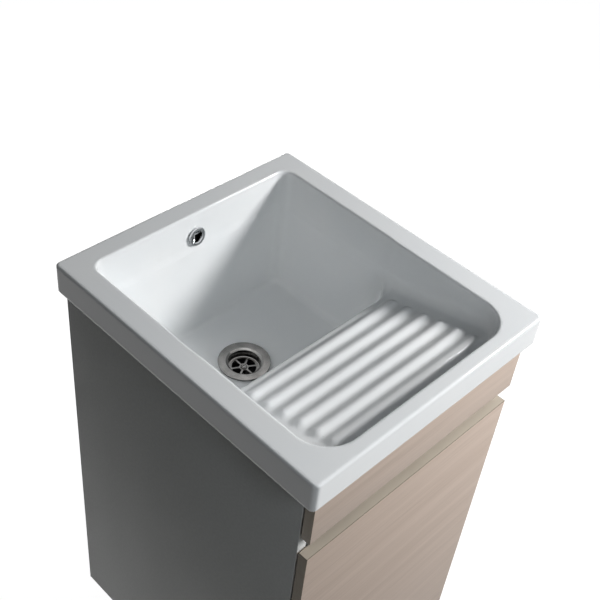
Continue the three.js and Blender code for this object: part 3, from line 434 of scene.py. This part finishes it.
def overflow_hollow(x, y, z):
    """The overflow's hole and the pocket behind the back wall that it opens into."""
    hole = np.hypot(x, z + OVERFLOW_DEPTH) - OVERFLOW_HOLE
    hole = np.maximum(hole, np.abs(y - OVERFLOW_Y) - OVERFLOW_REACH)
    pocket = np.maximum(np.abs(x) - POCKET_HALF, np.maximum(POCKET_FRONT - y, y - POCKET_BACK))
    pocket = np.maximum(pocket, z + POCKET_ROOF)
    return np.minimum(hole, pocket)


def tub(x, y, z):
    """Signed distance to the ceramic, negative inside."""
    shells = np.minimum(bowl_shell(x, y, z), shelf_shell(x, y, z))
    outside = round_join(rim_slab(x, y, z), shells, SKIRT_ROUND)
    drain = np.hypot(x, y - DRAIN_Y) - DRAIN_HOLE
    cavity = np.minimum(np.minimum(basin_hollow(x, y, z), drain), overflow_hollow(x, y, z))
    return round_common(outside, -cavity, MOUTH_ROUND)


# ---------------------------------------------------------------- skin of the tub

CELL = 2.2
SKIN_LOW = (-226, -254, -230)  # a little beyond the tub on every side
SKIN_HIGH = (226, 254, 4)
SLOPE_REACH = 0.4  # millimetres each way over which a slope is taken
LEAST_SLOPE = 0.05  # keeps a level spot from sending a point far away
PULLS = 6
LONGEST_PULL = 0.35  # of a cell
FURTHEST_OUT = 0.62  # of a cell, from its middle


def slope_of(shape, points):
    steps = []
    for axis in range(3):
        shift = np.zeros(3)
        shift[axis] = SLOPE_REACH
        ahead = points + shift
        behind = points - shift
        steps.append(shape(*ahead.T) - shape(*behind.T))
    return np.stack(steps, axis=1) / (2 * SLOPE_REACH)


def pulled_to_surface(shape, middles, cell):
    """Moves the middles of cells onto the surface, and hardly out of their cells."""
    points = middles.copy()
    for _ in range(PULLS):
        gradient = slope_of(shape, points)
        size = np.maximum((gradient**2).sum(axis=1), LEAST_SLOPE)
        move = gradient * (shape(*points.T) / size)[:, None]
        points -= np.clip(move, -LONGEST_PULL * cell, LONGEST_PULL * cell)
    return np.clip(points, middles - FURTHEST_OUT * cell, middles + FURTHEST_OUT * cell)


def skin(shape, low, high, cell):
    """Quads over the zero level of a signed distance, one vertex for each cell that it crosses."""
    counts = [int(math.ceil((b - a) / cell)) + 1 for a, b in zip(low, high)]
    lines = [a + cell * np.arange(n) for a, n in zip(low, counts)]
    inside = shape(*np.meshgrid(*lines, indexing="ij")) < 0
    corners = np.zeros([n - 1 for n in counts], int)
    for offset in itertools.product((0, 1), repeat=3):
        corners += inside[tuple(slice(d, d + n - 1) for d, n in zip(offset, counts))]
    crossed = (corners > 0) & (corners < 8)
    number = np.full(crossed.shape, -1)
    cells = np.argwhere(crossed)
    number[crossed] = np.arange(len(cells))
    points = pulled_to_surface(shape, np.array(low) + (cells + 0.5) * cell, cell)
    quads = []
    for axis in range(3):
        change = inside != np.roll(inside, -1, axis=axis)
        keep = [slice(1, n - 1) for n in counts]
        keep[axis] = slice(0, counts[axis] - 1)
        mask = np.zeros_like(change)
        mask[tuple(keep)] = change[tuple(keep)]
        at = np.argwhere(mask)
        u = np.eye(3, dtype=int)[(axis + 1) % 3]
        v = np.eye(3, dtype=int)[(axis + 2) % 3]
        ring = [number[tuple((at - shift).T)] for shift in (u * 0, u, u + v, v)]
        quad = np.stack(ring, axis=1)
        start_outside = ~inside[tuple(at.T)]
        quad[start_outside] = quad[start_outside][:, ::-1]
        quads.append(quad)
    return points, np.concatenate(quads)


def add_tub():
    points, quads = skin(tub, SKIN_LOW, SKIN_HIGH, CELL)
    mesh = bpy.data.meshes.new("ceramic_tub")
    place = points * MM + np.array([0, 0, RIM_TOP])
    mesh.from_pydata(place.tolist(), [], quads.tolist())
    mesh.validate()
    mesh.polygons.foreach_set("use_smooth", [True] * len(mesh.polygons))
    mesh.update()
    add_piece("ceramic_tub", mesh, "ceramic_basin")


add_tub()

# ---------------------------------------------------------------- waste flange

FLANGE_LIFT = 0.3  # millimetres over the drain's seat
FLANGE_SHARP = math.radians(38)
TURN_STEPS = 96


def arc(centre, radius, start, end, count=6):
    """Points of part of a circle, its angles in degrees."""
    out = []
    for angle in np.linspace(math.radians(start), math.radians(end), count):
        out.append((centre[0] + radius * math.cos(angle), centre[1] + radius * math.sin(angle)))
    return out


def lathe(name, profile, place):
    """Turns a closed outline of (radius, height) points, in millimetres, about Z."""
    count = len(profile)
    points = []
    for angle in np.linspace(0, 2 * math.pi, TURN_STEPS, endpoint=False):
        for radius, height in profile:
            points.append((radius * math.cos(angle), radius * math.sin(angle), height))
    faces = []
    for i in range(TURN_STEPS):
        here = i * count
        beside = (i + 1) % TURN_STEPS * count
        for j in range(count):
            after = (j + 1) % count
            faces.append((here + j, here + after, beside + after, beside + j))
    mesh = bpy.data.meshes.new(name)
    mesh.from_pydata([Vector(p) * MM for p in points], [], faces)
    work = bmesh.new()
    work.from_mesh(mesh)
    bmesh.ops.remove_doubles(work, verts=work.verts, dist=SAME_POINT)
    bmesh.ops.recalc_face_normals(work, faces=work.faces)
    work.to_mesh(mesh)
    work.free()
    mesh.transform(Matrix.Translation(place))
    mesh.polygons.foreach_set("use_smooth", [True] * len(mesh.polygons))
    mesh.set_sharp_from_angle(angle=FLANGE_SHARP)
    return mesh


def add_waste_flange():
    """A flat rim, a rounded lip, a straight throat and a seat for the strainer."""
    rim = millimetres(FLANGE_HIGH.x)
    lip = 31.0
    throat = 25.5
    outer_throat = 27.0
    bore = 20.0
    seat = -12.5
    bottom = -14.0
    profile = [
        (rim, 2.0),
        *arc((rim - 1.2, 2.9), 1.2, 0, 90),
        (lip, 3.6),
        *arc((lip - 2.0, 2.6), 1.0, 90, 60, 3),
        (26.6, 1.6),
        *arc((throat + 1.5, 0.2), 1.5, 130, 180, 4),
        (throat, seat + 0.4),
        (throat - 0.6, seat),
        (bore, seat),
        (bore, bottom),
        (outer_throat, bottom),
        (outer_throat, -1.5),
        (28.5, 1.25),
        (38.0, 2.0),
    ]
    place = (0.0, DRAIN_Y * MM, RIM_TOP - DRAIN_DEPTH * MM + FLANGE_LIFT * MM)
    add_piece("waste_flange_pressed", lathe("waste_flange_pressed", profile, place), "waste_flange")


add_waste_flange()

# ---------------------------------------------------------------- boards

SIDE_BEVEL = 0.8
RAIL_BEVEL = 0.5
FRONT_BEVEL = 0.6
BEVEL_STEPS = 3
FLAT_ANGLE = math.radians(0.5)  # faces that meet at less than this become one
BOARD_SHARP = math.radians(25)
ON_SIDE = 1e-5  # metres from a side of the box
SQUARE_ON = 0.99  # least share of a normal along its axis


def limits_met(point, low, high):
    """The sides of a box that a point lies on, as (axis, side) pairs."""
    met = set()
    for axis in range(3):
        for side, limit in enumerate((low[axis], high[axis])):
            if abs(point[axis] - limit) < ON_SIDE:
                met.add((axis, side))
    return met


def outer_edges(work, low, high):
    """The edges that run along an edge of the box."""
    found = []
    for edge in work.edges:
        start, end = (limits_met(vertex.co, low, high) for vertex in edge.verts)
        if len(start & end) == 2:
            found.append(edge)
    return found


def add_board(node, bevel, body=ROOT, banded=False):
    """A CAD board with its outer edges eased; a banded one has a strip glued to its edges, and painted
    shade on the eased corners between them.
    """
    low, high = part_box(node)
    source = frame["nodes"][node]
    work = bmesh.new()
    work.from_mesh(source.data)
    work.transform(source.matrix_world)
    bmesh.ops.remove_doubles(work, verts=work.verts, dist=SAME_POINT)
    bmesh.ops.dissolve_limit(work, angle_limit=FLAT_ANGLE, verts=work.verts, edges=work.edges)
    bmesh.ops.bevel(
        work,
        geom=outer_edges(work, low, high),
        offset=bevel * MM,
        segments=BEVEL_STEPS,
        profile=0.5,
        affect="EDGES",
    )
    for face in work.faces:
        face.smooth = True
        # On a banded board the edge strip gets index 1, and the eased corner faces get index 2, the dark
        # oak of painted shade.
        if banded and abs(face.normal.y) < SQUARE_ON:
            on_strip = max(abs(face.normal.x), abs(face.normal.z)) > SQUARE_ON
            face.material_index = 1 if on_strip else 2
    mesh = bpy.data.meshes.new(node + "_board")
    work.to_mesh(mesh)
    work.free()
    mesh.set_sharp_from_angle(angle=BOARD_SHARP)
    add_piece(node + "_board", mesh, node, body, [OAK, OAK_EDGE, OAK_BEVEL_SHADE] if banded else None)


for panel in ("side_panel_left", "side_panel_right"):
    add_board(panel, SIDE_BEVEL)
for rail in ("bottom_panel", "front_rail", "rear_upper_rail", "rear_lower_rail"):
    add_board(rail, RAIL_BEVEL)
add_board("fascia", FRONT_BEVEL, banded=True)
add_board("door", FRONT_BEVEL, body=DOOR, banded=True)

# ---------------------------------------------------------------- floor and light

FLOOR_REACH = 12.0
FLOOR_COLOUR = (116, 116, 115)
FLOOR_GLOW = 0.96
WORLD_LIGHT = 0.015
SHADE_TINT = (0.9, 0.96, 1.0)
WHITE_LIGHT = (1.0, 1.0, 1.0)
RIM_MIDDLE = (0.0, 0.0, RIM_TOP)
CABINET_MIDDLE = (0.0, 0.0, 0.4)


def seen_directly(nodes, links):
    """1 for a ray from the camera, a mirror or glass, and 0 for one that carries light."""
    path = nodes.new("ShaderNodeLightPath")
    total = path.outputs["Is Camera Ray"]
    for name in ("Is Glossy Ray", "Is Transmission Ray"):
        most = nodes.new("ShaderNodeMath")
        most.operation = "MAXIMUM"
        links.new(total, most.inputs[0])
        links.new(path.outputs[name], most.inputs[1])
        total = most.outputs[0]
    return total


def add_floor():
    """A floor that keeps shadows, and glows white only where it is seen."""
    mesh = bpy.data.meshes.new("floor")
    corners = [(x, y, 0) for x, y in ((-1, -1), (1, -1), (1, 1), (-1, 1))]
    mesh.from_pydata([Vector(corner) * FLOOR_REACH for corner in corners], [], [(0, 1, 2, 3)])
    floor = bpy.data.objects.new("floor", mesh)
    bpy.context.scene.collection.objects.link(floor)
    m = Nodes("floor_paint", roughness=0.9)
    m.shader.inputs["Base Color"].default_value = linear(*FLOOR_COLOUR)
    glow = m.add("ShaderNodeEmission")
    glow.inputs["Strength"].default_value = FLOOR_GLOW
    both = m.add("ShaderNodeAddShader")
    m.link(m.shader.outputs["BSDF"], both.inputs[0])
    m.link(glow.outputs["Emission"], both.inputs[1])
    choose = m.add("ShaderNodeMixShader")
    m.link(seen_directly(m.tree.nodes, m.tree.links), choose.inputs["Fac"])
    m.link(m.shader.outputs["BSDF"], choose.inputs[1])
    m.link(both.outputs["Shader"], choose.inputs[2])
    m.link(choose.outputs["Shader"], m.tree.nodes["Material Output"].inputs["Surface"])
    mesh.materials.append(m.material)


def add_world():
    """Weak light from all round, and white where the world is seen."""
    world = bpy.data.worlds.new("studio")
    bpy.context.scene.world = world
    world.use_nodes = True
    tree = world.node_tree
    light = tree.nodes["Background"]
    light.inputs["Color"].default_value = (*SHADE_TINT, 1)
    light.inputs["Strength"].default_value = WORLD_LIGHT
    white = tree.nodes.new("ShaderNodeBackground")
    white.inputs["Color"].default_value = (1, 1, 1, 1)
    white.inputs["Strength"].default_value = 1.0
    mix = tree.nodes.new("ShaderNodeMixShader")
    tree.links.new(seen_directly(tree.nodes, tree.links), mix.inputs["Fac"])
    tree.links.new(light.outputs["Background"], mix.inputs[1])
    tree.links.new(white.outputs["Background"], mix.inputs[2])
    tree.links.new(mix.outputs["Shader"], tree.nodes["World Output"].inputs["Surface"])


def add_softbox(name, target, towards, distance, size, power, colour=WHITE_LIGHT):
    """A round area light that looks at target from a distance, along the direction towards it."""
    data = bpy.data.lights.new(name, "AREA")
    data.shape = "DISK"
    data.size = size
    data.energy = power
    data.color = colour
    lamp = bpy.data.objects.new(name, data)
    direction = Vector(towards).normalized()
    lamp.location = Vector(target) + direction * distance
    lamp.rotation_euler = (-direction).to_track_quat("-Z", "Y").to_euler()
    bpy.context.scene.collection.objects.link(lamp)


add_floor()
add_world()
add_softbox("key", RIM_MIDDLE, (1.56, -1.28, 1.0), distance=1.9, size=0.47, power=37.0)
add_softbox("above", RIM_MIDDLE, (-0.1, 0.0, 1.0), distance=1.6, size=1.2, power=1.9, colour=SHADE_TINT)
add_softbox("front", RIM_MIDDLE, (-0.25, -1.0, 0.45), distance=1.1, size=0.5, power=1.9, colour=SHADE_TINT)
add_softbox("behind", CABINET_MIDDLE, (0.7, 1.0, 0.1), distance=2.0, size=0.6, power=14.0)
